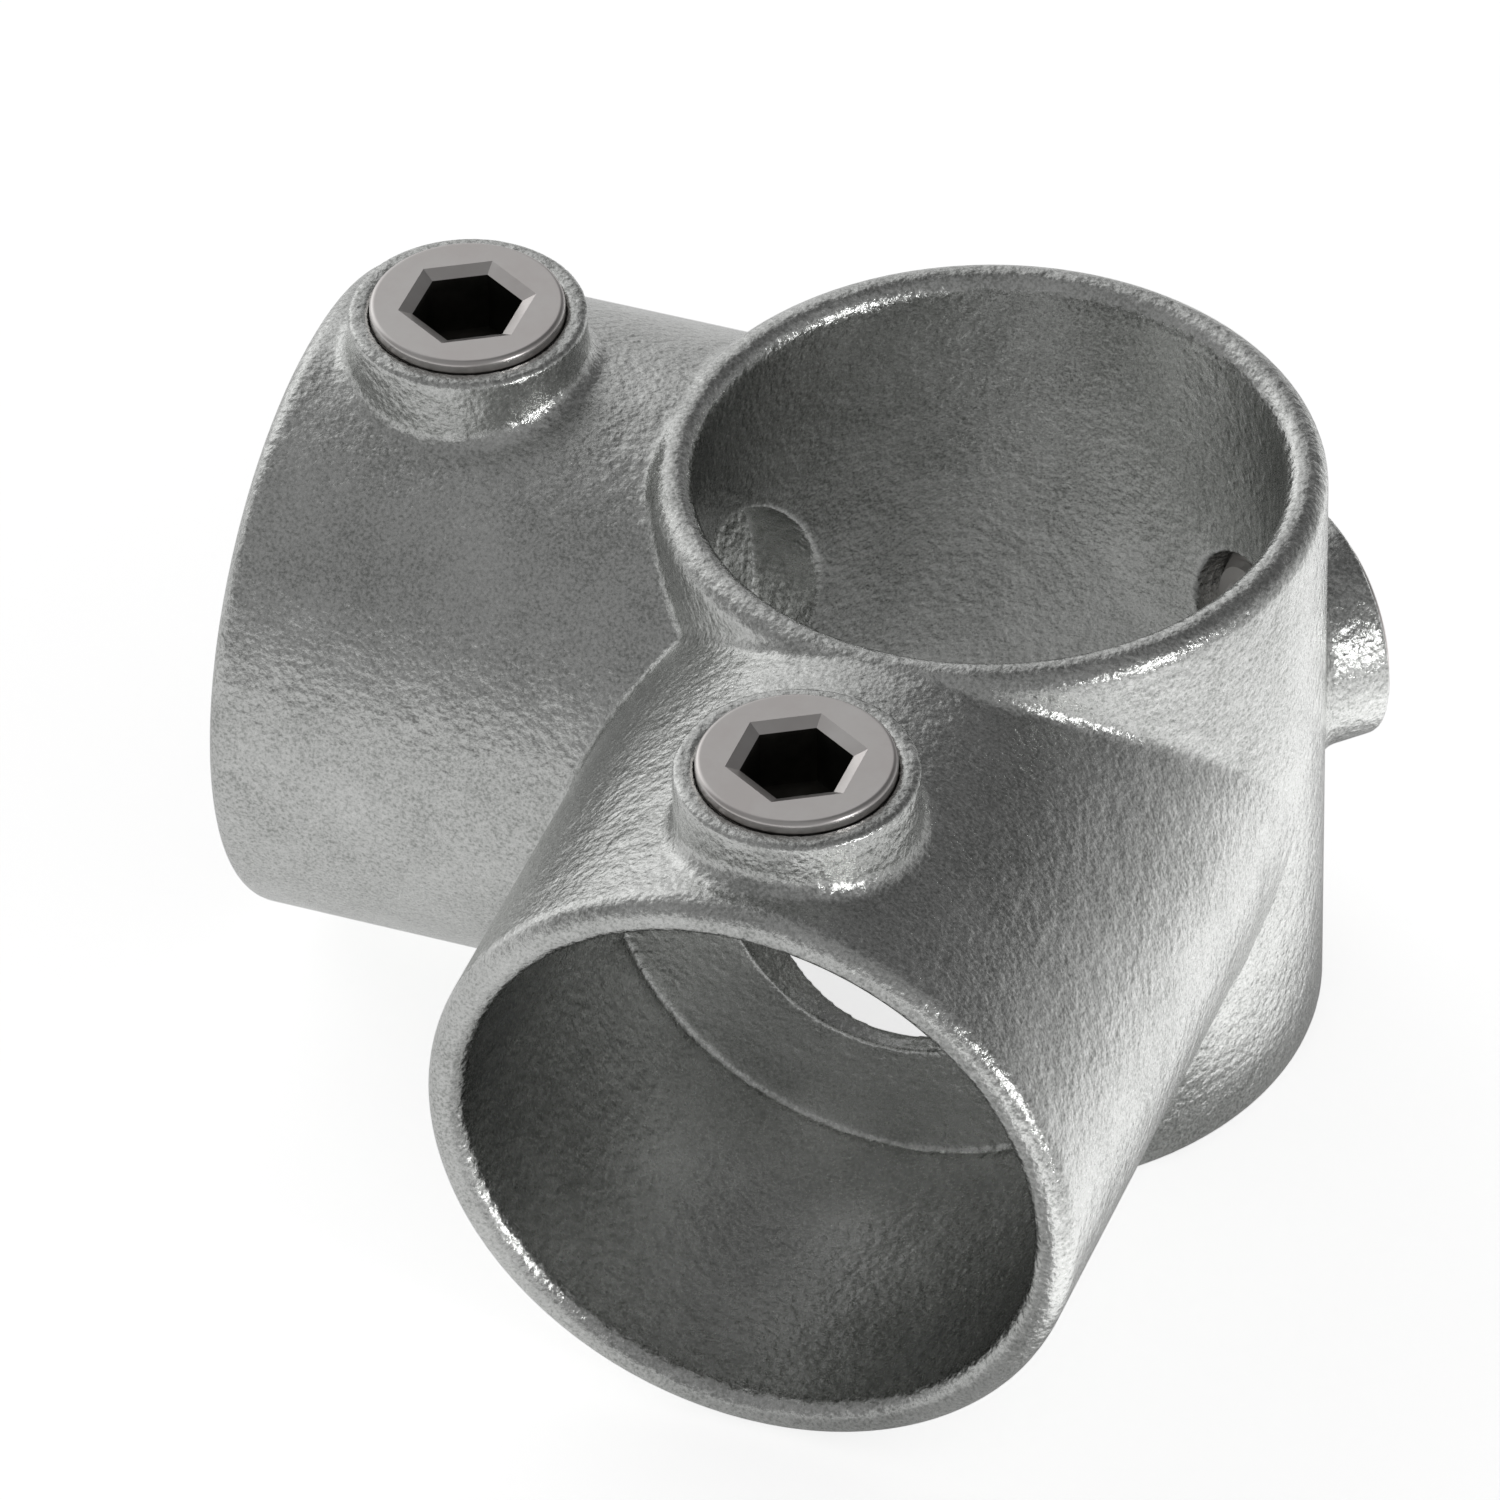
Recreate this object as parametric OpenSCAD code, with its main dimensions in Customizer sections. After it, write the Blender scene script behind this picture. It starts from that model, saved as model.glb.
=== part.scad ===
// Corner clamp for three round tubes: one goes straight through, two end in sockets at right angles.
// The origin is where the three tube axes meet. +Z is the upright tube, the sockets open along -X and -Y.

/* [Tubes] */
// outside diameter of the tubes that the clamp takes
tube_d = 48.3; // [46:0.1:50]
// gap all round between a tube and its bore
tube_gap = 0.75; // [0.4:0.05:1.2]

/* [Sleeves] */
// wall of the upright sleeve
upright_wall = 3.6; // [3.4:0.1:5]
// how much thinner the wall of a socket is
socket_step = 0.1; // [0.1:0.1:0.6]
// how far each rim of the upright sleeve stands past the sockets
rim_rise = 0.2; // [0.2:0.1:10]
// how far a tube goes into a socket before it meets the stop
socket_depth = 34; // [31:0.5:60]
// metal between the stop and the upright bore
stop_wall = 2.1; // [1.5:0.1:6]
// width of the ledge that stops a tube, round the cored window to the upright bore
stop_ledge = 10.9; // [8:0.1:14]
// round of the outer edge at every open end
lip_round = 1.9; // [1:0.1:2]
// round of the inner edge at every open end
mouth_round = 1.8; // [1:0.1:1.8]
// ball radius of the cast blends where the sleeves meet
blend_r = 1.5; // [1:0.1:2.5]

/* [Screw bosses] */
// wall of a boss round its tapped hole
boss_wall = 1.82; // [1.6:0.02:4]
// height of a boss above the sleeve that it stands on
boss_rise = 4.55; // [3.5:0.05:7]
// distance from the mouth of a socket to the axis of its screw
boss_back = 14.1; // [13:0.1:17]
// round of the top edge of a boss
boss_round = 0.3; // [0.2:0.1:1]
// ball radius of the cast blend at the foot of a boss
boss_blend = 1.8; // [1:0.1:2.2]
// width of the countersink at the top of a tapped hole
sink_w = 0.2; // [0.2:0.05:0.6]

/* [Set screws] */
// outside diameter of the screw thread
screw_d = 16.66; // [15:0.02:17]
// running gap all round between the screw and its tapped hole
screw_gap = 0.05; // [0.02:0.01:0.1]
// length of a set screw
screw_len = 9; // [8:0.1:12]
// how far the tip stays clear of the tube bore when the screw is backed off
tip_clear = 0.05; // [0.02:0.01:0.5]
// round of the top edge of a screw
screw_round = 0.45; // [0.2:0.05:0.6]
// size of the hexagonal key across its flats
key_af = 8.2; // [7:0.1:9]
// metal between the key socket and the cup
key_floor = 1.9; // [1.2:0.1:3]
// width of the bevel round the mouth of the key socket
key_bevel_w = 1.03; // [0.4:0.01:1.2]
// depth of that bevel
key_bevel_h = 0.6; // [0.3:0.05:0.9]
// width of the flat ring round the cup in the tip
cup_rim = 1.23; // [0.4:0.01:2]
// depth of the cup in the tip
cup_h = 0.9; // [0.4:0.1:1.2]
// bevel at the lower end of the thread
tip_bevel = 1.4; // [0.8:0.1:1.6]

/* [Hidden] */
$fn = 96;
// how far a cut runs past the face that it opens, in small and in large features
eps = 0.1;
past = 1;
bore_r = tube_d / 2 + tube_gap;
upright_r = bore_r + upright_wall;
socket_r = upright_r - socket_step;
half_h = socket_r + rim_rise;
stop_at = bore_r + stop_wall;
socket_reach = stop_at + socket_depth;
window_r = bore_r - stop_ledge;
window_from = sqrt(bore_r * bore_r - window_r * window_r) - past;
screw_r = screw_d / 2;
hole_r = screw_r + screw_gap;
hole_from = sqrt(bore_r * bore_r - hole_r * hole_r) - past;
boss_r = hole_r + boss_wall;
boss_at = socket_reach - boss_back;
upright_boss_top = upright_r + boss_rise;
socket_boss_top = socket_r + boss_rise;
tip_at = bore_r + tip_clear;
cup_r = screw_r - tip_bevel - cup_rim;
key_depth = screw_len - cup_h - key_floor;
key_r = key_af / sqrt(3);
// the inner round of a mouth lies this much higher, so that it crosses the outer one
mouth_lift = 0.08;
// a blend ends this far inside both walls, and reaches this far behind their valley
blend_in = 0.06;
blend_deep = 0.9;
// a blend runs on this many degrees inside the next wall, or until it is this shallow
blend_bury = 2;
blend_fade = 0.03;
// facets across a blend, the widest angle between its sections, and sections round a boss
blend_steps = 4;
row_angle = 5.6;
foot_rows = 40;

// Faces of a grid of points, rows of cols points each, and the two ends that close it.
function skin(rows, cols, closed) = [
    for (i = [0:rows - (closed ? 1 : 2)])
    for (j = [0:cols - 1])
    for (k = [0, 1])
    let (next = (i + 1) % rows)
    let (a = i * cols + j)
    let (b = i * cols + (j + 1) % cols)
    let (c = next * cols + j)
    let (d = next * cols + (j + 1) % cols)
    k == 0 ? [a, c, d] : [a, d, b]
];
function cap(first, cols) = [for (j = [1:cols - 2]) [first, first + j, first + j + 1]];
function flip(tris) = [for (t = tris) [t[0], t[2], t[1]]];

// A solid through a row of sections. A closed one joins its last section to its first.
module sweep(sections, closed = false) {
    cols = len(sections[0]);
    rows = len(sections);
    ends = closed ? [] : concat(cap(0, cols), flip(cap((rows - 1) * cols, cols)));
    polyhedron(points = [for (s = sections) for (p = s) p], faces = concat(skin(rows, cols, closed), ends));
}

// One section of a cast blend: the round of a rolling ball from one contact point to the other,
// then a point behind the valley. c is the ball's centre, r its radius, p and q its contacts.
function unit(v) = v / norm(v);
function arc_dir(a, b, t) = let (g = acos(a * b)) (sin((1 - t) * g) * a + sin(t * g) * b) / sin(g);
function blend_section(c, p, q, r) =
    let (a = (p - c) / r)
    let (b = (q - c) / r)
    let (m = unit(a + b))
    concat(
        [c + a * (r + blend_in)],
        [for (i = [1:blend_steps - 1]) c + r * arc_dir(a, b, i / blend_steps)],
        [c + b * (r + blend_in)],
        [c + m * (r / (m * a) + blend_deep)]
    );

// The ball between the front socket and the upright sleeve rolls over the sleeve's round rim too.
// Its centre keeps blend_r from both. t is the angle round the socket from straight up, towards +X.
upright_ball_r = upright_r + blend_r;
socket_ball_r = socket_r + blend_r;
rim_at = half_h - lip_round;
function ball_from_upright(z) =
    z <= rim_at
        ? upright_ball_r
        : upright_r - lip_round + sqrt(pow(lip_round + blend_r, 2) - pow(z - rim_at, 2));
function upright_ball(t) =
    let (x = socket_ball_r * sin(t))
    let (z = socket_ball_r * cos(t))
    let (r = ball_from_upright(z))
    [x, -sqrt(r * r - x * x), z];
function upright_touch(c) =
    let (r = norm([c[0], c[1]]))
    let (k = (upright_r - lip_round) / r)
    let (core = [c[0] * k, c[1] * k, rim_at])
    c[2] <= rim_at
        ? [c[0] * upright_r / r, c[1] * upright_r / r, c[2]]
        : core + (c - core) * lip_round / (lip_round + blend_r);
function socket_touch(c) =
    let (k = socket_r / socket_ball_r)
    [c[0] * k, c[1], c[2] * k];

// Where that blend starts, inside the other socket, and where it has faded out beside the sleeve.
blend_from = -blend_bury - acos((pow(socket_r, 2) - pow(upright_ball_r, 2)) / pow(socket_ball_r, 2)) / 2;
fade_angle = 2 * acos(blend_r / (blend_r + blend_fade));
blend_to = asin(sqrt(min(1, cos(fade_angle) * upright_ball_r / socket_ball_r)));

module upright_blend() {
    rows = ceil((blend_to - blend_from) / row_angle);
    sweep([
        for (i = [0:rows])
        let (c = upright_ball(blend_from + (blend_to - blend_from) * i / rows))
        blend_section(c, upright_touch(c), socket_touch(c), blend_r)
    ]);
}

// Blend along the valley between the two sockets. Both its ends lie inside the upright sleeve.
module socket_blend() {
    span = blend_bury + acos(upright_r / (sqrt(2) * socket_ball_r));
    rows = ceil(2 * span / row_angle);
    k = socket_r / socket_ball_r;
    sweep([
        for (i = [0:rows])
        let (t = -span + 2 * span * i / rows)
        let (s = socket_ball_r * cos(t))
        let (z = socket_ball_r * sin(t))
        blend_section([-s, -s, z], [-s, -s * k, z * k], [-s * k, -s, z * k], blend_r)
    ]);
}

// Blend round the foot of a boss that points up from a level sleeve of radius r along X.
module foot_blend(r) {
    ball = boss_blend;
    out = boss_r + ball;
    k = r / (r + ball);
    sections = [
        for (i = [0:foot_rows - 1])
        let (t = -360 * i / foot_rows)
        let (z = sqrt(pow(r + ball, 2) - pow(out * sin(t), 2)))
        let (c = [out * cos(t), out * sin(t), z])
        blend_section(c, [c[0], c[1] * k, z * k], [boss_r * cos(t), boss_r * sin(t), z], ball)
    ];
    sweep(sections, closed = true);
}

// A round bar along Z with the edge of its far end rounded.
module bar(r, from, to, round) {
    rotate_extrude()
        difference() {
            translate([0, from])
                square([r, to - from]);
            translate([r - round, to - round])
                difference() {
                    square(round + eps);
                    circle(round);
                }
        }
}

// What a bore takes away: a round hole along Z that opens with a rounded edge at z = to.
module bore(from, to) {
    round_at = to - mouth_round + mouth_lift;
    rotate_extrude()
        difference() {
            translate([0, from])
                square([bore_r + mouth_round, to + past - from]);
            translate([bore_r + mouth_round, round_at])
                circle(mouth_round);
            translate([bore_r, from - past])
                square([mouth_round + past, round_at - from + past]);
        }
}

// The tapped hole through a boss, opened out at the top. The thread stands as its running bore.
module screw_hole(top) {
    translate([0, 0, hole_from])
        cylinder(r = hole_r, h = top + past - hole_from);
    translate([0, 0, top - sink_w])
        cylinder(r1 = hole_r, r2 = hole_r + sink_w + past, h = sink_w + past);
}

// A boss that points up from a level sleeve of radius r along X, with its cast foot.
module boss(r) {
    bar(boss_r, bore_r + past, r + boss_rise, boss_round);
    foot_blend(r);
}

// Turns what points along +X to the outer diagonal, between +X and +Y.
module to_diagonal() {
    rotate([0, 0, 45])
        children();
}

module upright_sleeve() {
    bar(upright_r, -past, half_h, lip_round);
    mirror([0, 0, 1])
        bar(upright_r, -past, half_h, lip_round);
    rotate([0, 90, 0])
        boss(upright_r);
}

module upright_cuts() {
    bore(-past, half_h);
    mirror([0, 0, 1])
        bore(-past, half_h);
    rotate([0, 90, 0])
        screw_hole(upright_boss_top);
}

// The level socket that opens along -Y, with its boss. The other one is its mirror image.
module socket() {
    rotate([90, 0, 0])
        bar(socket_r, 0, socket_reach, lip_round);
    translate([0, -boss_at, 0])
        rotate([0, 0, 90])
            boss(socket_r);
}

module socket_cuts() {
    rotate([90, 0, 0]) {
        bore(stop_at, socket_reach);
        translate([0, 0, window_from])
            cylinder(r = window_r, h = stop_at + past - window_from);
    }
    translate([0, -boss_at, 0])
        screw_hole(socket_boss_top);
}

// Both cast blends between the front socket and the upright sleeve, above and below.
module rim_blends() {
    upright_blend();
    mirror([0, 0, 1])
        upright_blend();
}

// Turns what belongs to the front socket into the same for the left one.
module swap_xy() {
    mirror([1, -1, 0])
        children();
}

module cast_body() {
    color("#8f938f")
        difference() {
            union() {
                to_diagonal()
                    upright_sleeve();
                socket();
                swap_xy()
                    socket();
                rim_blends();
                swap_xy()
                    rim_blends();
                socket_blend();
            }
            to_diagonal()
                upright_cuts();
            socket_cuts();
            swap_xy()
                socket_cuts();
        }
}

// The six-sided key socket in the top of a screw, with the bevel round its mouth.
module key_socket() {
    flare = key_bevel_w / cos(30) / key_bevel_h;
    rotate([0, 0, 30]) {
        translate([0, 0, screw_len - key_depth])
            cylinder(r = key_r, h = key_depth + past, $fn = 6);
        translate([0, 0, screw_len - key_bevel_h])
            cylinder(r1 = key_r, r2 = key_r + flare * (key_bevel_h + eps), h = key_bevel_h + eps, $fn = 6);
    }
}

// A set screw along Z with its tip at z = 0, its key socket in the top and a cup in the tip.
module set_screw() {
    color("#a8a2a0")
        difference() {
            bar(screw_r, 0, screw_len, screw_round);
            rotate_extrude()
                polygon([
                    [screw_r - tip_bevel, -eps],
                    [screw_r - tip_bevel, 0],
                    [screw_r, tip_bevel],
                    [screw_r + eps, tip_bevel],
                    [screw_r + eps, -eps]
                ]);
            translate([0, 0, -eps])
                cylinder(r1 = cup_r + eps, r2 = cup_r - cup_h, h = cup_h + eps);
            key_socket();
        }
}

module upright_screw() {
    to_diagonal()
        rotate([0, 90, 0])
            translate([0, 0, tip_at])
                set_screw();
}

module left_screw() {
    translate([-boss_at, 0, tip_at])
        set_screw();
}

module front_screw() {
    translate([0, -boss_at, tip_at])
        set_screw();
}

cast_body();
upright_screw();
left_screw();
front_screw();
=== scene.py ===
"""The looks of a galvanised corner clamp and its three set screws.

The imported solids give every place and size. The casting is shown as a refined copy of its solid,
with the soft edges that a coat of zinc gives, and each set screw as a threaded copy with a key socket.
Lengths are in metres, in the frame of the solids: +Z up, the sockets open along -X and -Y.
"""

import logging
import math
from dataclasses import dataclass
from enum import Enum
from typing import Sequence

import bmesh
import bpy
from mathutils import Matrix, Vector


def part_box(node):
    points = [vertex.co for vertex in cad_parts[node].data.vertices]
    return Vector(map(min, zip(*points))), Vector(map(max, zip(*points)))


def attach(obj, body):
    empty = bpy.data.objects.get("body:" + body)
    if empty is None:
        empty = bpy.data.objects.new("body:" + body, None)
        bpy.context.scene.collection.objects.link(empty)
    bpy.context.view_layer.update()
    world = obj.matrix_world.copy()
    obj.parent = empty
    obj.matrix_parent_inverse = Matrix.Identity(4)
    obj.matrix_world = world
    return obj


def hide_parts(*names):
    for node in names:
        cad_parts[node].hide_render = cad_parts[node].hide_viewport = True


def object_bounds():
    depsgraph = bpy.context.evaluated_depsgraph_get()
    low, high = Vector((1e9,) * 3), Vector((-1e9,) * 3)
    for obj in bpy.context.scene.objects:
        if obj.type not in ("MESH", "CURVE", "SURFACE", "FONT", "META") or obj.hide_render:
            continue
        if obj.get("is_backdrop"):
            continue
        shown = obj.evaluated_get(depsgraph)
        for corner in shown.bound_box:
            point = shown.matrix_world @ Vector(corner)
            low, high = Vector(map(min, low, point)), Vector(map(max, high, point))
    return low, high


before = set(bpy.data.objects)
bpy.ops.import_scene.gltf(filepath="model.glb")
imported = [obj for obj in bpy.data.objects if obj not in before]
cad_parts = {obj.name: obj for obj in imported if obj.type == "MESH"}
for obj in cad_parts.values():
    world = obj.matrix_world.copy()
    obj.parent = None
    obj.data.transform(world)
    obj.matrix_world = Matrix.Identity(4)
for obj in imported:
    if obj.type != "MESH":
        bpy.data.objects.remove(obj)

LOG = logging.getLogger("corner_clamp")
MM = 0.001
NOISE_SPAN = (0.3, 0.7)  # nearly all values of a noise texture lie in this span

Triple = tuple[float, float, float]
Colour = tuple[float, float, float, float]
Steps = Sequence[tuple[float, Colour]]  # places along a ramp, each with its colour


def linear(hex_colour: str) -> Colour:
    """Turns an sRGB colour into the linear one that a shader takes.

    Args:
        hex_colour: The colour as six hex digits after a hash.

    Returns:
        Red, green, blue and an alpha of 1.
    """
    parts = [int(hex_colour[i:i + 2], 16) / 255 for i in (1, 3, 5)]
    red, green, blue = (p / 12.92 if p <= 0.04045 else ((p + 0.055) / 1.055) ** 2.4 for p in parts)
    return red, green, blue, 1.0


def grey(value: float) -> Colour:
    """Gives the linear colour of one grey value."""
    return value, value, value, 1.0


def per_metre(size_mm: float) -> float:
    """Gives the texture scale at which one feature is about size_mm wide on Object coordinates."""
    return 1.0 / (size_mm * MM)


def add_node(tree: bpy.types.NodeTree, kind: str, settings: dict | None = None,
             inputs: dict | None = None, steps: Steps = ()) -> bpy.types.Node:
    """Adds one node to a tree.

    Args:
        tree: The node tree that gets the node.
        kind: Blender's name for the node type.
        settings: Properties of the node by name.
        inputs: Sockets by name or number, each with a value or with the output that feeds it.
        steps: Places along a ramp from 0 to 1 in rising order, each with its colour.

    Returns:
        The new node.
    """
    node = tree.nodes.new(kind)
    for name, value in (settings or {}).items():
        setattr(node, name, value)
    for name, value in (inputs or {}).items():
        if isinstance(value, bpy.types.NodeSocket):
            tree.links.new(value, node.inputs[name])
        else:
            node.inputs[name].default_value = value
    if steps:
        elements = node.color_ramp.elements
        elements[0].position, elements[1].position = steps[0][0], steps[-1][0]
        for place, _ in steps[1:-1]:
            elements.new(place)
        for element, (_, colour) in zip(elements, steps):
            element.color = colour
    return node


def new_material(name: str) -> tuple[bpy.types.Material, bpy.types.NodeTree]:
    """Makes an empty node material.

    Args:
        name: What the material is called.

    Returns:
        The material and its cleared node tree.
    """
    material = bpy.data.materials.new(name)
    material.use_nodes = True
    material.node_tree.nodes.clear()
    return material, material.node_tree


def show(name: str, mesh: bpy.types.Mesh, node: str, body: str) -> bpy.types.Object:
    """Puts a finished mesh into the scene in place of a solid.

    Args:
        name: What the piece is called.
        mesh: Its mesh, already where it belongs.
        node: The solid that it stands for.
        body: The body that carries it.

    Returns:
        The new piece.
    """
    mesh.name = name
    piece = bpy.data.objects.new(name, mesh)
    bpy.context.scene.collection.objects.link(piece)
    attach(piece, body)
    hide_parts(node)
    LOG.info("%s: %d faces on body %s", name, len(mesh.polygons), body)
    return piece


@dataclass(frozen=True)
class GalvanisedIron:
    """Malleable cast iron, hot-dip galvanised: a grey metal coat with a fine orange-peel grain.

    The grain of the sand mould shows through the zinc, so the gloss breaks up into small glints.
    """

    # The places along the speckle at which the dark, middle and light tones are reached.
    tones: tuple[tuple[float, str], ...] = ((0.36, "#9c9e9b"), (0.5, "#cccdcb"), (0.66, "#e4e5e3"))
    roughness: tuple[float, float] = (0.14, 0.32)
    grain_mm: float = 0.8
    grain_height_mm: float = 0.15
    fine_mm: float = 0.30
    fine_height_mm: float = 0.05
    swell_mm: float = 3.4
    swell_height_mm: float = 0.2
    cloud_mm: float = 9.0
    speckle_share: float = 0.72

    def material(self) -> bpy.types.Material:
        """Builds the shader.

        Returns:
            The finished material.
        """
        material, tree = new_material("galvanised_casting")
        where = add_node(tree, "ShaderNodeTexCoord").outputs["Object"]
        clouds = add_node(tree, "ShaderNodeTexNoise", inputs={
            "Vector": where, "Scale": per_metre(self.cloud_mm), "Detail": 5.0, "Roughness": 0.6})
        speckle = add_node(tree, "ShaderNodeTexNoise", inputs={
            "Vector": where, "Scale": per_metre(self.fine_mm), "Detail": 3.0, "Roughness": 0.7})
        tone = add_node(tree, "ShaderNodeMix", {"data_type": "FLOAT"}, {
            "Factor": self.speckle_share, "A": clouds.outputs["Fac"], "B": speckle.outputs["Fac"]})
        ramp = add_node(tree, "ShaderNodeValToRGB", inputs={"Fac": tone.outputs["Result"]},
                        steps=[(place, linear(colour)) for place, colour in self.tones])
        gloss = add_node(tree, "ShaderNodeMapRange", inputs={
            "Value": speckle.outputs["Fac"], "From Min": NOISE_SPAN[0], "From Max": NOISE_SPAN[1],
            "To Min": self.roughness[0], "To Max": self.roughness[1]})
        swell = add_node(tree, "ShaderNodeTexNoise", inputs={
            "Vector": where, "Scale": per_metre(self.swell_mm), "Detail": 2.0, "Roughness": 0.5})
        grain = add_node(tree, "ShaderNodeTexNoise", inputs={
            "Vector": where, "Scale": per_metre(self.grain_mm), "Detail": 1.5, "Roughness": 0.5})
        swollen = add_node(tree, "ShaderNodeBump", inputs={
            "Strength": 1.0, "Distance": self.swell_height_mm * MM, "Height": swell.outputs["Fac"]})
        peeled = add_node(tree, "ShaderNodeBump", inputs={
            "Strength": 1.0, "Distance": self.grain_height_mm * MM, "Height": grain.outputs["Fac"],
            "Normal": swollen.outputs["Normal"]})
        sanded = add_node(tree, "ShaderNodeBump", inputs={
            "Strength": 1.0, "Distance": self.fine_height_mm * MM, "Height": speckle.outputs["Fac"],
            "Normal": peeled.outputs["Normal"]})
        shader = add_node(tree, "ShaderNodeBsdfPrincipled", inputs={
            "Base Color": ramp.outputs["Color"], "Metallic": 1.0, "Roughness": gloss.outputs["Result"],
            "Normal": sanded.outputs["Normal"]})
        add_node(tree, "ShaderNodeOutputMaterial", inputs={"Surface": shader.outputs["BSDF"]})
        return material


@dataclass(frozen=True)
class ZincPlatedSteel:
    """Turned steel with bright zinc plating: satin and smooth, a little warmer than the casting."""

    name: str = "zinc_plated_steel"
    tones: tuple[tuple[float, str], ...] = ((0.35, "#d1ccca"), (0.65, "#dcd9d7"))
    roughness: tuple[float, float] = (0.28, 0.37)
    cloud_mm: float = 5.0
    # The real grain of the plating is a few hundredths; it is drawn at the least size that shows.
    grain_mm: float = 0.12
    grain_height_mm: float = 0.002

    def material(self) -> bpy.types.Material:
        """Builds the shader.

        Returns:
            The finished material.
        """
        material, tree = new_material(self.name)
        where = add_node(tree, "ShaderNodeTexCoord").outputs["Object"]
        clouds = add_node(tree, "ShaderNodeTexNoise", inputs={
            "Vector": where, "Scale": per_metre(self.cloud_mm), "Detail": 4.0, "Roughness": 0.6})
        ramp = add_node(tree, "ShaderNodeValToRGB", inputs={"Fac": clouds.outputs["Fac"]},
                        steps=[(place, linear(colour)) for place, colour in self.tones])
        fine = add_node(tree, "ShaderNodeTexNoise", inputs={
            "Vector": where, "Scale": per_metre(self.grain_mm), "Detail": 2.0, "Roughness": 0.5})
        gloss = add_node(tree, "ShaderNodeMapRange", inputs={
            "Value": clouds.outputs["Fac"], "From Min": NOISE_SPAN[0], "From Max": NOISE_SPAN[1],
            "To Min": self.roughness[0], "To Max": self.roughness[1]})
        bump = add_node(tree, "ShaderNodeBump", inputs={
            "Strength": 1.0, "Distance": self.grain_height_mm * MM, "Height": fine.outputs["Fac"]})
        shader = add_node(tree, "ShaderNodeBsdfPrincipled", inputs={
            "Base Color": ramp.outputs["Color"], "Metallic": 1.0, "Roughness": gloss.outputs["Result"],
            "Normal": bump.outputs["Normal"]})
        add_node(tree, "ShaderNodeOutputMaterial", inputs={"Surface": shader.outputs["BSDF"]})
        return material


@dataclass(frozen=True)
class SocketShadeSteel(ZincPlatedSteel):
    """A darker steel for the inside of the key socket: painted shade of the deep socket, which makes it
    nearly black.
    """

    name: str = "socket_shade_steel"
    tones: tuple[tuple[float, str], ...] = ((0.35, "#4c4b47"), (0.65, "#6a6863"))
    roughness: tuple[float, float] = (0.41, 0.50)


@dataclass
class Casting:
    """The one-piece cast body, shown with the softened edges of a dipped casting."""

    finish: GalvanisedIron
    merge_mm: float = 0.002
    voxel_mm: float = 0.3
    relax_factor: float = 0.5
    relax_steps: int = 4
    kept_share: float = 0.16
    crisp_mm: float = 1.6
    crisp_relax: float = 0.3

    def merged_copy(self) -> bpy.types.Mesh:
        """Copies the solid's mesh and joins its loose triangles.

        Returns:
            A closed mesh at the same place.
        """
        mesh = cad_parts["cast_body"].data.copy()
        mesh.materials.clear()
        shell = bmesh.new()
        shell.from_mesh(mesh)
        bmesh.ops.remove_doubles(shell, verts=shell.verts, dist=self.merge_mm * MM)
        shell.to_mesh(mesh)
        shell.free()
        return mesh

    @staticmethod
    def settled(source: bpy.types.Object) -> bpy.types.Mesh:
        """Applies an object's modifiers and removes the object.

        Args:
            source: The object with its modifiers.

        Returns:
            The mesh that they make.
        """
        evaluated = source.evaluated_get(bpy.context.evaluated_depsgraph_get())
        mesh = bpy.data.meshes.new_from_object(evaluated)
        bpy.data.objects.remove(source)
        return mesh

    def evened(self) -> bpy.types.Mesh:
        """Gives the casting an even skin of small faces.

        Returns:
            The remeshed copy.
        """
        source = bpy.data.objects.new("casting_source", self.merged_copy())
        bpy.context.scene.collection.objects.link(source)
        even = source.modifiers.new("even", "REMESH")
        even.mode = "VOXEL"
        even.voxel_size = self.voxel_mm * MM
        return self.settled(source)

    def relaxed(self, mesh: bpy.types.Mesh) -> bpy.types.Mesh:
        """Rounds the edges as a coat of zinc does, less at the machined mouths of the tapped holes.

        Args:
            mesh: The casting with its even skin.

        Returns:
            The rounded casting, thinned to a handy number of faces.
        """
        source = bpy.data.objects.new("casting_source", mesh)
        bpy.context.scene.collection.objects.link(source)
        soft = source.vertex_groups.new(name="soft")
        crisp = [i for i, v in enumerate(mesh.vertices)
                 if any(place.near_mouth(v.co, self.crisp_mm * MM) for place in ScrewPlace)]
        soft.add(range(len(mesh.vertices)), 1.0, "REPLACE")
        soft.add(crisp, self.crisp_relax, "REPLACE")
        relax = source.modifiers.new("relax", "SMOOTH")
        relax.factor = self.relax_factor
        relax.iterations = self.relax_steps
        relax.vertex_group = soft.name
        thin = source.modifiers.new("thin", "DECIMATE")
        thin.ratio = self.kept_share
        return self.settled(source)

    def build(self) -> bpy.types.Object:
        """Makes the visible casting.

        Returns:
            The piece, riding on its body and standing for its node.
        """
        mesh = self.relaxed(self.evened())
        mesh.shade_smooth()
        mesh.materials.clear()
        mesh.materials.append(self.finish.material())
        return show("dipped_casting", mesh, "cast_body", "casting")


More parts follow.
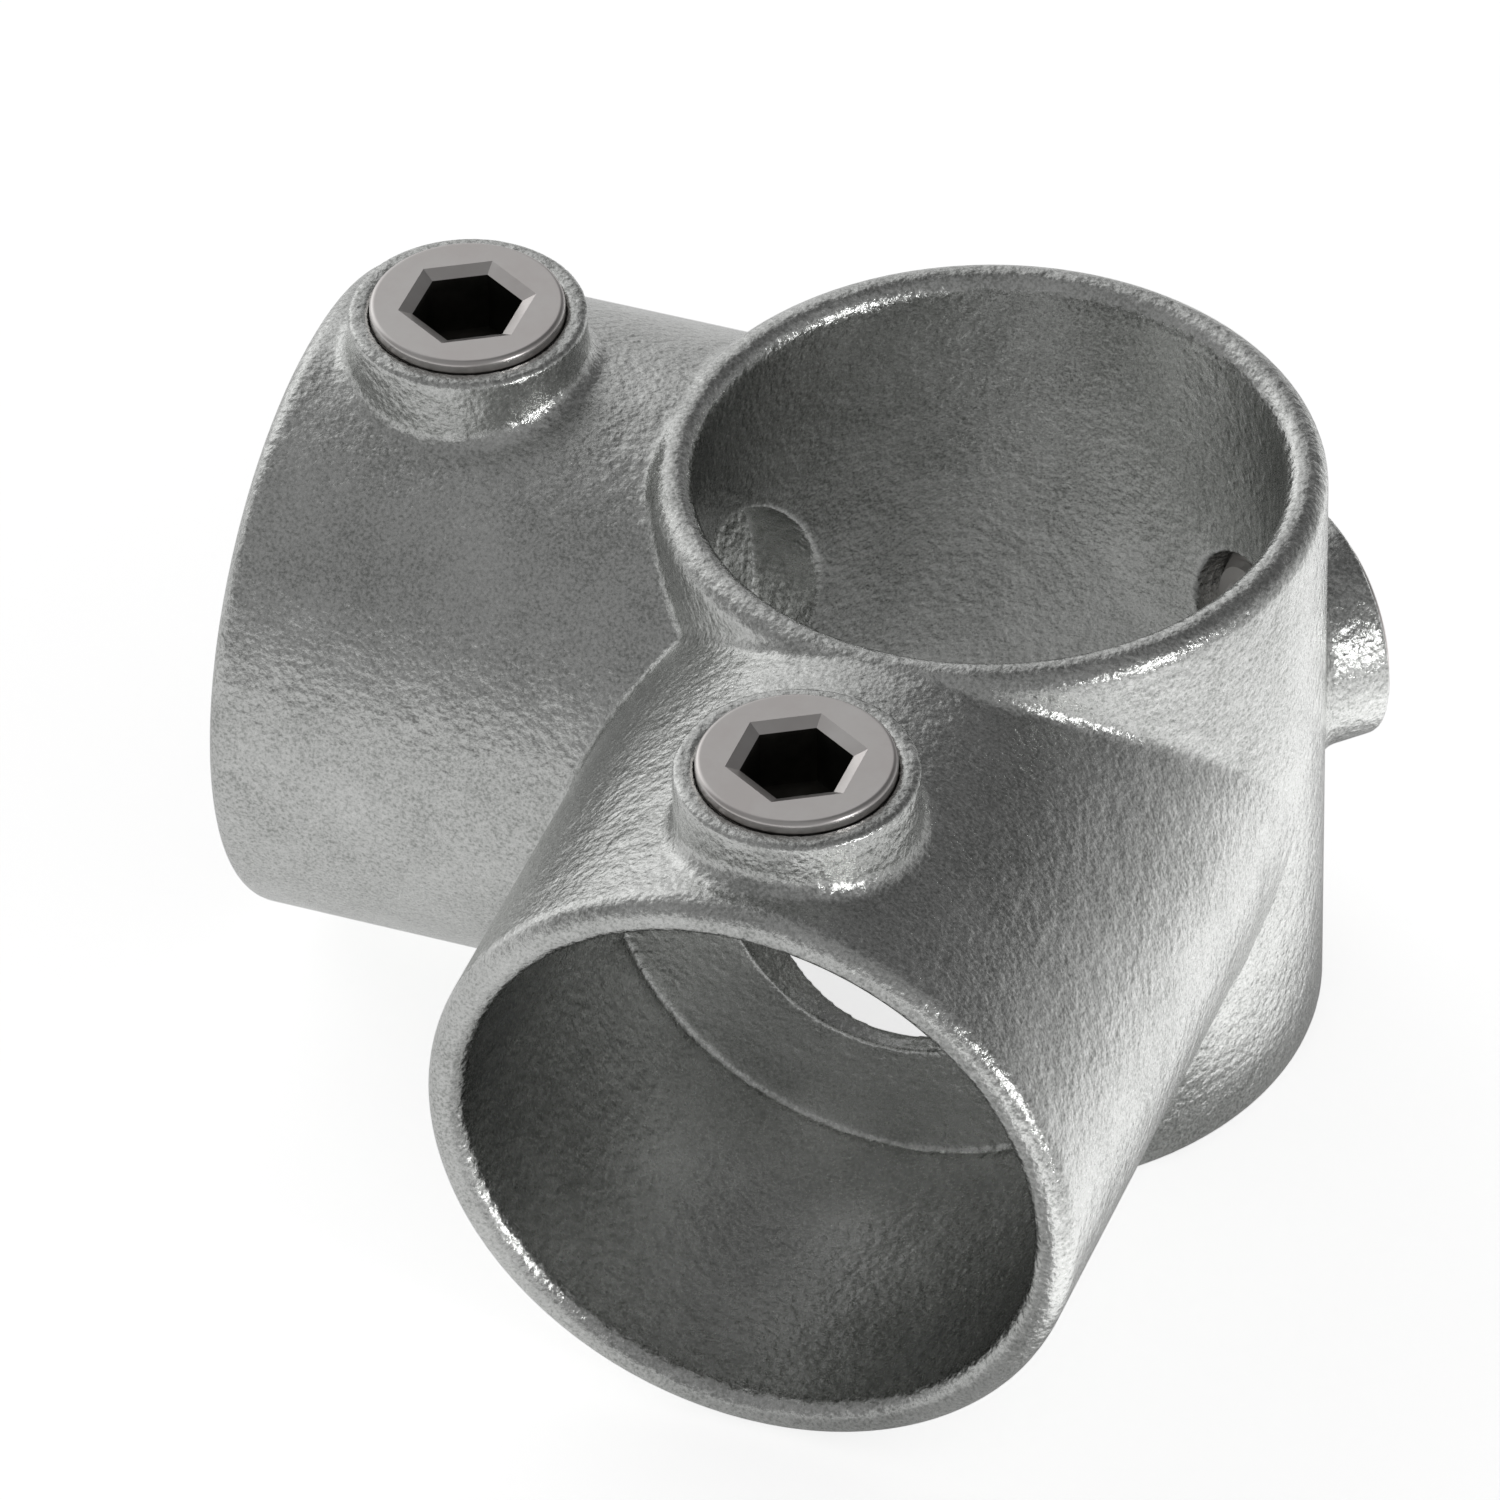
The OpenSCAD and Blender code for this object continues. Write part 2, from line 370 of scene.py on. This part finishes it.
class ScrewPlace(Enum):
    """The three set screws: solid, body, direction out of the hole and turn of the key socket."""

    UPRIGHT = ("upright_screw", "screw_upright", (1.0, 1.0, 0.0), (0.0, 90.0, 45.0))
    LEFT = ("left_screw", "screw_left", (0.0, 0.0, 1.0), (0.0, 0.0, 0.0))
    FRONT = ("front_screw", "screw_front", (0.0, 0.0, 1.0), (0.0, 0.0, 0.0))

    def __init__(self, node: str, body: str, out: Triple, turn: Triple) -> None:
        """Keeps the facts and reads the middle of the screw off its solid.

        Args:
            node: The screw's solid.
            body: The body that carries it.
            out: The direction in which the screw comes out.
            turn: The turns about X, Y and Z that bring +Z to that direction, in degrees.
        """
        self.node = node
        self.body = body
        self.out = Vector(out).normalized()
        low, high = (Vector(corner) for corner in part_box(node))
        centre = (low + high) / 2
        # The box of a slanting screw isn't centred on it, so its middle is read off its points.
        spans = [vert.co.dot(self.out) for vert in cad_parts[node].data.vertices]
        self.middle = centre + self.out * ((min(spans) + max(spans)) / 2 - centre.dot(self.out))
        x, y, z = (math.radians(angle) for angle in turn)
        self.turn = Matrix.Rotation(z, 4, "Z") @ Matrix.Rotation(y, 4, "Y") @ Matrix.Rotation(x, 4, "X")

    def near_mouth(self, point: Vector, reach: float) -> bool:
        """Tells whether a point of the casting lies by the mouth of this screw's hole.

        Args:
            point: The point, in metres.
            reach: How far into the hole's wall the mouth reaches, in metres. It reaches twice as far
                down the hole, and half as far again over the boss, to the boss's own edge.

        Returns:
            True by the mouth.
        """
        along = (point - self.middle).dot(self.out)
        if along < SetScrew.length_mm * MM / 2 - 2 * reach:
            return False
        aside = (point - self.middle - self.out * along).length
        return -reach < aside - SetScrew.radius_mm * MM < 1.5 * reach


@dataclass
class SetScrew:
    """A cup-point set screw: plain collar, pipe thread of 19 turns to the inch, hexagonal key socket."""

    plating: ZincPlatedSteel
    # The darker steel paints the shade of the deep key socket.
    inside: SocketShadeSteel
    length_mm: float = 9.0
    radius_mm: float = 8.33
    edge_mm: float = 0.45
    edge_steps: int = 10
    collar_mm: float = 1.15
    fade_mm: float = 0.9
    pitch_mm: float = 25.4 / 19
    depth_mm: float = 0.86
    rows_per_turn: int = 14
    turns: int = 192
    tip_bevel_mm: float = 1.4
    cup_radius_mm: float = 5.7
    cup_mm: float = 0.9
    key_af_mm: float = 8.2
    key_depth_mm: float = 6.2
    key_bevel_mm: tuple[float, float] = (1.03, 0.6)
    drill_mm: float = 1.0
    drill_share: float = 0.8
    flat_rim_mm: float = 0.06
    crease_deg: float = 20.0
    # Points nearer than same_mm are one point; the other two keep the choice of points off rounding.
    same_mm: float = 0.0005
    near_mm: float = 0.001
    margin_mm: float = 0.1

    @property
    def key_reach_mm(self) -> float:
        """Gives how far the corners of the key socket reach from the axis."""
        return self.key_af_mm / math.sqrt(3)

    @property
    def mouth_reach_mm(self) -> float:
        """Gives how far the corners of the bevel round the key socket's mouth reach from the axis."""
        return self.key_reach_mm + self.key_bevel_mm[0] / math.cos(math.pi / 6)

    def outline(self) -> list[tuple[float, float]]:
        """Draws half of the section, from the floor of the key socket round to the cup.

        Returns:
            Points as distance from the axis and height above the tip, in millimetres.
        """
        top = self.length_mm
        key = self.key_reach_mm
        floor = top - self.key_depth_mm
        # The key socket with its drill point, and the flat top round it.
        points = [(0.0, floor - self.drill_mm), (key * self.drill_share, floor), (key, floor),
                  (key, top - self.key_bevel_mm[1]), (self.mouth_reach_mm, top),
                  (self.radius_mm - self.edge_mm - self.flat_rim_mm, top)]
        # The rounded top edge.
        for step in range(self.edge_steps + 1):
            angle = math.pi / 2 * step / self.edge_steps
            points.append((self.radius_mm - self.edge_mm * (1 - math.sin(angle)),
                           top - self.edge_mm * (1 - math.cos(angle))))
        # The side, in rows close enough for the thread, then the bevel and the cup at the tip.
        row = self.pitch_mm / self.rows_per_turn
        low = points[-1][1]
        while low > self.tip_bevel_mm + row:
            low -= row
            points.append((self.radius_mm, low))
        bevel_rows = round(self.tip_bevel_mm / row)
        for step in range(bevel_rows + 1):
            height = self.tip_bevel_mm * (1 - step / bevel_rows)
            points.append((self.radius_mm - self.tip_bevel_mm + height, height))
        cup_floor = self.cup_radius_mm - self.cup_mm
        return points + [(self.cup_radius_mm, 0.0), (cup_floor, self.cup_mm), (0.0, self.cup_mm)]

    @staticmethod
    def hexagon_share(angle: float) -> float:
        """Gives a six-sided hole's reach at an angle in radians, as a share of its corners' reach."""
        sixth = math.pi / 3
        return math.cos(sixth / 2) / math.cos((angle - sixth / 2) % sixth - sixth / 2)

    def thread_radius(self, angle: float, height: float) -> float:
        """Gives the radius of the right-handed thread, which runs out below the collar.

        Args:
            angle: The direction about the axis, in radians.
            height: The height above the tip, in millimetres.

        Returns:
            The radius in millimetres.
        """
        phase = (height / self.pitch_mm - angle / math.tau) % 1.0
        groove = abs(2 * phase - 1)
        groove = groove * groove * (3 - 2 * groove)
        run_out = (self.length_mm - self.collar_mm - height) / self.fade_mm
        return self.radius_mm - self.depth_mm * groove * min(max(run_out, 0.0), 1.0)

    def turned(self) -> bmesh.types.BMesh:
        """Turns the outline round the axis.

        Returns:
            A closed round body that stands on its tip.
        """
        body = bmesh.new()
        line = [body.verts.new((x * MM, 0.0, z * MM)) for x, z in self.outline()]
        edges = [body.edges.new(pair) for pair in zip(line, line[1:])]
        bmesh.ops.spin(body, geom=line + edges, cent=(0, 0, 0), axis=(0, 0, 1), angle=math.tau,
                       steps=self.turns, use_merge=True)
        bmesh.ops.remove_doubles(body, verts=body.verts, dist=self.same_mm * MM)
        return body

    def cut(self, body: bmesh.types.BMesh) -> None:
        """Moves the points of the key socket and of the side inwards, onto the hexagon and the thread.

        Args:
            body: The turned body.
        """
        for vert in body.verts:
            reach = math.hypot(vert.co.x, vert.co.y) / MM
            height = vert.co.z / MM
            if reach < self.near_mm:
                continue
            angle = math.atan2(vert.co.y, vert.co.x)
            if height > self.cup_mm + self.margin_mm and reach < self.mouth_reach_mm + self.near_mm:
                wanted = reach * self.hexagon_share(angle)
            elif reach > self.cup_radius_mm + self.margin_mm:
                wanted = min(reach, self.thread_radius(angle, height))
            else:
                continue
            vert.co.x *= wanted / reach
            vert.co.y *= wanted / reach
        bmesh.ops.recalc_face_normals(body, faces=body.faces)

    def mark(self, body: bmesh.types.BMesh) -> None:
        """Marks the faces inside the key socket that take the darker steel of painted shade, and the
        creases of the socket and the cup.

        Args:
            body: The turned body with its hexagon and thread.
        """
        # Below the bevel, the socket's walls take the painted shade.
        shaded_below = (self.length_mm - self.key_bevel_mm[1]) * MM
        for face in body.faces:
            middle = face.calc_center_median()
            inside = math.hypot(middle.x, middle.y) < self.key_reach_mm * MM
            above_cup = middle.z > (self.cup_mm + self.margin_mm) * MM
            face.material_index = int(inside and above_cup and middle.z < shaded_below)
        flat_reach = (self.radius_mm - self.edge_mm) * MM
        for edge in body.edges:
            inner = all(math.hypot(vert.co.x, vert.co.y) < flat_reach for vert in edge.verts)
            edge.smooth = not (inner and edge.calc_face_angle(0.0) > math.radians(self.crease_deg))

    def shape(self) -> bpy.types.Mesh:
        """Makes the mesh that the three screws share.

        Returns:
            A closed mesh along Z with its middle at the origin.
        """
        body = self.turned()
        self.cut(body)
        self.mark(body)
        bmesh.ops.translate(body, verts=body.verts, vec=(0, 0, -self.length_mm * MM / 2))
        mesh = bpy.data.meshes.new("set_screw")
        body.to_mesh(mesh)
        body.free()
        mesh.polygons.foreach_set("use_smooth", [True] * len(mesh.polygons))
        mesh.materials.append(self.plating.material())
        mesh.materials.append(self.inside.material())
        return mesh

    def build(self) -> list[bpy.types.Object]:
        """Makes the three screws from one mesh.

        Returns:
            The pieces, each at rest in its hole.
        """
        pattern = self.shape()
        pieces = []
        for place in ScrewPlace:
            mesh = pattern.copy()
            mesh.transform(Matrix.Translation(place.middle) @ place.turn)
            pieces.append(show("threaded_" + place.node, mesh, place.node, place.body))
        bpy.data.meshes.remove(pattern)
        return pieces


@dataclass(frozen=True)
class Patch:
    """A soft round patch of the studio's sky, lighter or darker than what is round it."""

    towards: Triple
    edge_cosine: float
    strength: float

    def value(self, tree: bpy.types.NodeTree, where: bpy.types.NodeSocket) -> bpy.types.NodeSocket:
        """Makes the patch's nodes.

        Args:
            tree: The world's node tree.
            where: The viewing direction.

        Returns:
            How much light the patch adds in that direction.
        """
        facing = add_node(tree, "ShaderNodeVectorMath", {"operation": "DOT_PRODUCT"}, {
            0: where, 1: Vector(self.towards).normalized()})
        return add_node(tree, "ShaderNodeMapRange", {"interpolation_type": "SMOOTHSTEP"}, {
            "Value": facing.outputs["Value"], "From Min": self.edge_cosine, "From Max": 1.0,
            "To Min": 0.0, "To Max": self.strength}).outputs["Result"]


@dataclass(frozen=True)
class SoftLamp:
    """A square lamp that faces the part and gives the bosses and rims their small white glints."""

    name: str = "right_lamp"
    towards: Triple = (0.93, -0.35, 0.12)
    distance: float = 1.6
    size: float = 0.17
    power: float = 3.6

    def build(self) -> None:
        """Puts the lamp into the scene."""
        data = bpy.data.lights.new(self.name, "AREA")
        data.shape = "SQUARE"
        data.size = self.size
        data.energy = self.power
        lamp = bpy.data.objects.new(self.name, data)
        out = Vector(self.towards).normalized()
        turn = out.to_track_quat("Z", "Y").to_matrix().to_4x4()
        lamp.matrix_world = Matrix.Translation(out * self.distance) @ turn
        bpy.context.scene.collection.objects.link(lamp)


@dataclass
class Studio:
    """The camera at the photograph's viewing angle, a pale floor and soft light."""

    # The camera was worked out from the straight edges and rims of the casting. Angles are in degrees.
    lens_mm: float = 347.43
    azimuth: float = 21.03362
    elevation: float = 40.20974
    roll: float = -1.17624
    camera_mm: Triple = (319.614, -888.584, 795.947)
    floor_size: float = 6.0
    floor_colour: str = "#f2f2f2"
    # How much light the floor adds where the camera sees it, so that it comes out nearly white.
    floor_seen: float = 0.72
    # How much light it adds in mirrored rays, by X in millimetres: painted light and shade that only the
    # metal's reflections show, bright just right of the part, with painted shade of the part close beside
    # it.
    painted_reflection_steps: tuple[tuple[float, float], ...] = (
        (-20.0, 0.40), (6.0, 0.10), (32.0, 0.10), (40.0, 1.30), (53.0, 1.10), (64.0, 0.70),
        (80.0, 0.74), (112.0, 0.58), (135.0, 0.12), (250.0, 0.12))
    # The sky's grey by the sine of its height: white round the horizon, greyer overhead.
    sky_steps: tuple[tuple[float, float], ...] = (
        (0.0, 0.75), (0.08, 0.50), (0.18, 0.43), (0.35, 0.37), (0.70, 0.36), (0.95, 0.36))
    patches: tuple[Patch, ...] = (
        Patch((-0.62, 0.60, 0.50), 0.76, 0.65),
        Patch((0.30, 0.60, 0.74), 0.60, -0.20),
        Patch((-0.88, 0.40, 0.25), 0.86, 0.70))
    lamp: SoftLamp = SoftLamp()

    def add_camera(self) -> None:
        """Places the camera and makes it the scene's own."""
        data = bpy.data.cameras.new("camera")
        data.lens = self.lens_mm
        data.clip_start = 0.05
        data.clip_end = 50.0
        turn, tilt, roll = (math.radians(a) for a in (self.azimuth, self.elevation, self.roll))
        back = Vector((math.sin(turn) * math.cos(tilt), -math.cos(turn) * math.cos(tilt), math.sin(tilt)))
        level = Vector((math.cos(turn), math.sin(turn), 0.0))
        right = level * math.cos(roll) + back.cross(level) * math.sin(roll)
        up = back.cross(right)
        camera = bpy.data.objects.new("camera", data)
        camera.matrix_world = Matrix.Translation(Vector(self.camera_mm) * MM) @ Matrix(
            (right, up, back)).transposed().to_4x4()
        bpy.context.scene.collection.objects.link(camera)
        bpy.context.scene.camera = camera

    def add_floor(self, level: float) -> None:
        """Lays the pale floor.

        Args:
            level: The height of the floor.
        """
        material, tree = new_material("pale_floor")
        path = add_node(tree, "ShaderNodeLightPath")
        where = add_node(tree, "ShaderNodeSeparateXYZ", inputs={
            "Vector": add_node(tree, "ShaderNodeTexCoord").outputs["Object"]})
        start, end = self.painted_reflection_steps[0][0] * MM, self.painted_reflection_steps[-1][0] * MM
        across = add_node(tree, "ShaderNodeMapRange", inputs={
            "Value": where.outputs["X"], "From Min": start, "From Max": end})
        # Painted light and shade, seen only by mirrored rays: bright right of the part, dim as the part's
        # shade close beside it.
        painted_pool = add_node(tree, "ShaderNodeValToRGB", inputs={"Fac": across.outputs["Result"]}, steps=[
            ((x * MM - start) / (end - start), grey(value)) for x, value in self.painted_reflection_steps])
        mirrored = add_node(tree, "ShaderNodeMath", {"operation": "MULTIPLY"}, {
            0: path.outputs["Is Glossy Ray"], 1: painted_pool.outputs["Color"]})
        lift = add_node(tree, "ShaderNodeMath", {"operation": "MULTIPLY_ADD"}, {
            0: path.outputs["Is Camera Ray"], 1: self.floor_seen, 2: mirrored.outputs["Value"]})
        diffuse = add_node(tree, "ShaderNodeBsdfDiffuse", inputs={"Color": linear(self.floor_colour)})
        glow = add_node(tree, "ShaderNodeEmission", inputs={"Strength": lift.outputs["Value"]})
        both = add_node(tree, "ShaderNodeAddShader", inputs={
            0: diffuse.outputs["BSDF"], 1: glow.outputs["Emission"]})
        add_node(tree, "ShaderNodeOutputMaterial", inputs={"Surface": both.outputs["Shader"]})
        shape = bmesh.new()
        bmesh.ops.create_grid(shape, x_segments=1, y_segments=1, size=self.floor_size / 2)
        bmesh.ops.translate(shape, verts=shape.verts, vec=(0.0, 0.0, level))
        mesh = bpy.data.meshes.new("floor")
        shape.to_mesh(mesh)
        shape.free()
        mesh.materials.append(material)
        floor = bpy.data.objects.new("floor", mesh)
        bpy.context.scene.collection.objects.link(floor)
        floor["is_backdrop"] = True

    def add_sky(self) -> None:
        """Makes the studio's surroundings from the greys by height and the soft patches."""
        world = bpy.data.worlds.new("studio")
        world.use_nodes = True
        tree = world.node_tree
        tree.nodes.clear()
        where = add_node(tree, "ShaderNodeTexCoord").outputs["Generated"]
        height = add_node(tree, "ShaderNodeSeparateXYZ", inputs={"Vector": where})
        ramp = add_node(tree, "ShaderNodeValToRGB", inputs={"Fac": height.outputs["Z"]},
                        steps=[(place, grey(value)) for place, value in self.sky_steps])
        total = ramp.outputs["Color"]
        for patch in self.patches:
            total = add_node(tree, "ShaderNodeMath", {"operation": "ADD"}, {
                0: total, 1: patch.value(tree, where)}).outputs["Value"]
        sky = add_node(tree, "ShaderNodeBackground", inputs={"Strength": total})
        add_node(tree, "ShaderNodeOutputWorld", inputs={"Surface": sky.outputs["Background"]})
        bpy.context.scene.world = world

    def set_up(self, floor_level: float) -> None:
        """Builds the whole studio.

        Args:
            floor_level: The height at which the part stands.
        """
        self.add_camera()
        self.add_floor(floor_level)
        self.add_sky()
        self.lamp.build()
        bpy.context.scene.view_settings.view_transform = "Standard"


def corners(bounds: Sequence[Sequence[float]]) -> list[list[float]]:
    """Turns a box into its lowest and highest corners, as lists of three plain numbers."""
    return [[float(value) for value in corner] for corner in bounds]


def main() -> None:
    """Builds the studio and every piece."""
    logging.basicConfig(level=logging.INFO, format="%(message)s")
    solid_box = corners(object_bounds())
    Studio().set_up(solid_box[0][2])
    Casting(GalvanisedIron()).build()
    SetScrew(ZincPlatedSteel(), SocketShadeSteel()).build()


if __name__ == "__main__":
    main()
